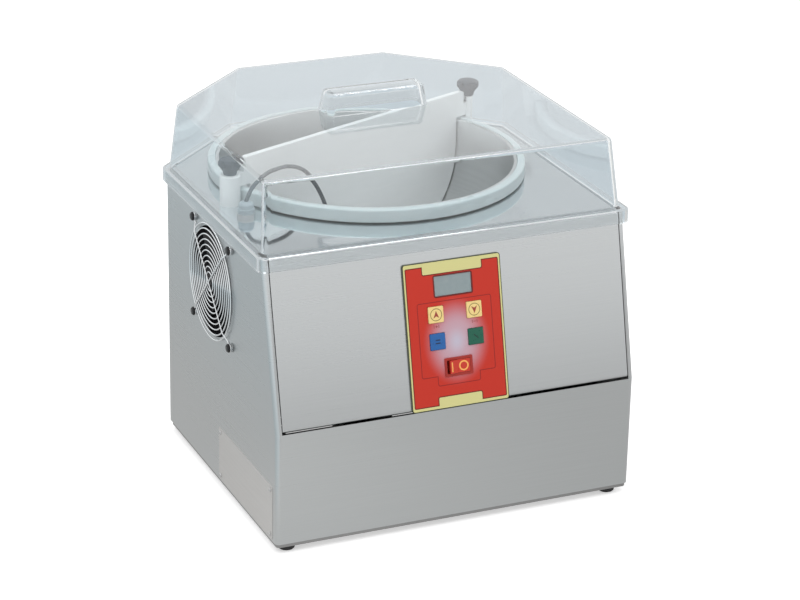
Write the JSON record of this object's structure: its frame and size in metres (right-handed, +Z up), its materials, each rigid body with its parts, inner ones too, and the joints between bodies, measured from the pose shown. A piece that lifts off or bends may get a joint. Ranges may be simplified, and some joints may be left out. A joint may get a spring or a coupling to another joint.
{
  "type": "chocolate tempering machine",
  "caption": "Countertop stainless chocolate tempering machine: heated turning bowl with an upright divider, temperature probe, side fan, sloping control panel and a clear lift-off lid.",
  "frame": {"origin": "on the surface that the feet stand on, under the centre of the machine's outer box", "axes": "+Z up, the control panel faces -Y, +X to the right seen from the front"},
  "size_m": [0.402, 0.4258, 0.396],
  "materials": {
    "stainless": "finely brushed stainless sheet",
    "polished_deck": "polished stainless sheet",
    "tray_steel": "plain steel sheet",
    "foot_rubber": "black rubber",
    "screw_steel": "bright steel",
    "lid_clear": "clear moulded plastic with a faint blue cast",
    "bowl_steel": "satin stainless steel",
    "ring_plastic": "translucent pale plastic",
    "cast_aluminium": "cast and turned aluminium",
    "heater_sheath": "heat-darkened steel sheath",
    "motor_grey": "dark grey paint",
    "white_plastic": "white plastic",
    "knob_plastic": "dark blue-grey plastic",
    "probe_grey": "dark blue-grey sheath",
    "probe_steel": "bright steel",
    "fan_black": "black plastic and black screws",
    "guard_chrome": "bright plated wire",
    "fascia_red": "red with a pale yellow border",
    "display_glass": "grey tinted window",
    "module_dark": "dark plastic",
    "board_green": "green circuit board",
    "key_yellow": "yellow",
    "key_blue": "blue",
    "key_green": "green",
    "switch_dark": "dark plastic",
    "rocker_red": "red-orange",
    "plate_aluminium": "bare aluminium plate"
  },
  "bodies": {
    "housing": {"body_wrap": "stainless", "upper_front_panel": "stainless", "rear_panel": "stainless", "base_tray": "tray_steel", "feet": "foot_rubber", "top_plate": "polished_deck", "case_screws": "screw_steel", "bearing_housing": "cast_aluminium", "ball_bearings": "screw_steel", "motor_bridge": "tray_steel", "gearmotor": "motor_grey", "drive_screws": "screw_steel", "heater_element": "heater_sheath", "heater_clips": "cast_aluminium", "divider": "white_plastic", "divider_post_left": "white_plastic", "divider_post_right": "white_plastic", "divider_studs": "screw_steel", "probe_socket": "probe_steel", "probe_plug": "probe_grey", "probe_stem": "probe_grey", "probe_tip": "probe_steel", "fan_frame": "fan_black", "fan_guard": "guard_chrome", "fan_screws": "fan_black", "control_fascia": "fascia_red", "display_window": "display_glass", "display_module": "module_dark", "key_switches": "module_dark", "control_board": "board_green", "board_standoffs": "screw_steel", "rocker_frame": "switch_dark", "rating_plate": "plate_aluminium", "plate_rivets": "screw_steel", "mains_inlet": "switch_dark", "power_supply": "board_green", "supply_standoffs": "screw_steel"},
    "lid_cover": {"lid": "lid_clear"},
    "bowl_drive": {"bowl": "bowl_steel", "bowl_rim_ring": "ring_plastic", "turntable": "cast_aluminium", "drive_shaft": "screw_steel"},
    "fan_rotor": {"fan_impeller": "fan_black"},
    "key_up": {"button_up": "key_yellow"},
    "key_down": {"button_down": "key_yellow"},
    "key_set": {"button_set": "key_blue"},
    "key_start": {"button_start": "key_green"},
    "mains_rocker": {"rocker": "rocker_red"},
    "left_knob": {"knob_left": "knob_plastic"},
    "right_knob": {"knob_right": "knob_plastic"}
  },
  "joints": [
    {"name": "lid_lift", "type": "slide", "parent": "housing", "child": "lid_cover", "axis": [0, 0, 1], "range_m": [0, 0.15]},
    {"name": "bowl_turn", "type": "hinge", "parent": "housing", "child": "bowl_drive", "pos_m": [0, 0.03388, 0.2], "axis": [0, 0, 1], "continuous": true},
    {"name": "fan_spin", "type": "hinge", "parent": "housing", "child": "fan_rotor", "pos_m": [-0.18, -0.03012, 0.2255], "axis": [1, 0, 0], "continuous": true},
    {"name": "press_up", "type": "slide", "parent": "housing", "child": "key_up", "axis": [0, 0.9723, -0.2337], "range_m": [0, 0.0008], "stiffness_N_per_m": 400, "springref_m": -0.001},
    {"name": "press_down", "type": "slide", "parent": "housing", "child": "key_down", "axis": [0, 0.9723, -0.2337], "range_m": [0, 0.0008], "stiffness_N_per_m": 400, "springref_m": -0.001},
    {"name": "press_set", "type": "slide", "parent": "housing", "child": "key_set", "axis": [0, 0.9723, -0.2337], "range_m": [0, 0.0008], "stiffness_N_per_m": 400, "springref_m": -0.001},
    {"name": "press_start", "type": "slide", "parent": "housing", "child": "key_start", "axis": [0, 0.9723, -0.2337], "range_m": [0, 0.0008], "stiffness_N_per_m": 400, "springref_m": -0.001},
    {"name": "rocker_tilt", "type": "hinge", "parent": "housing", "child": "mains_rocker", "pos_m": [0.001, -0.19844, 0.17094], "axis": [0, 0.2337, 0.9723], "range_deg": [-12, 0]},
    {"name": "knob_left_turn", "type": "hinge", "parent": "housing", "child": "left_knob", "pos_m": [-0.16948, -0.01681, 0.34], "axis": [0, 0, 1], "continuous": true},
    {"name": "knob_right_turn", "type": "hinge", "parent": "housing", "child": "right_knob", "pos_m": [0.15176, 0.11355, 0.345], "axis": [0, 0, 1], "continuous": true}
  ]
}
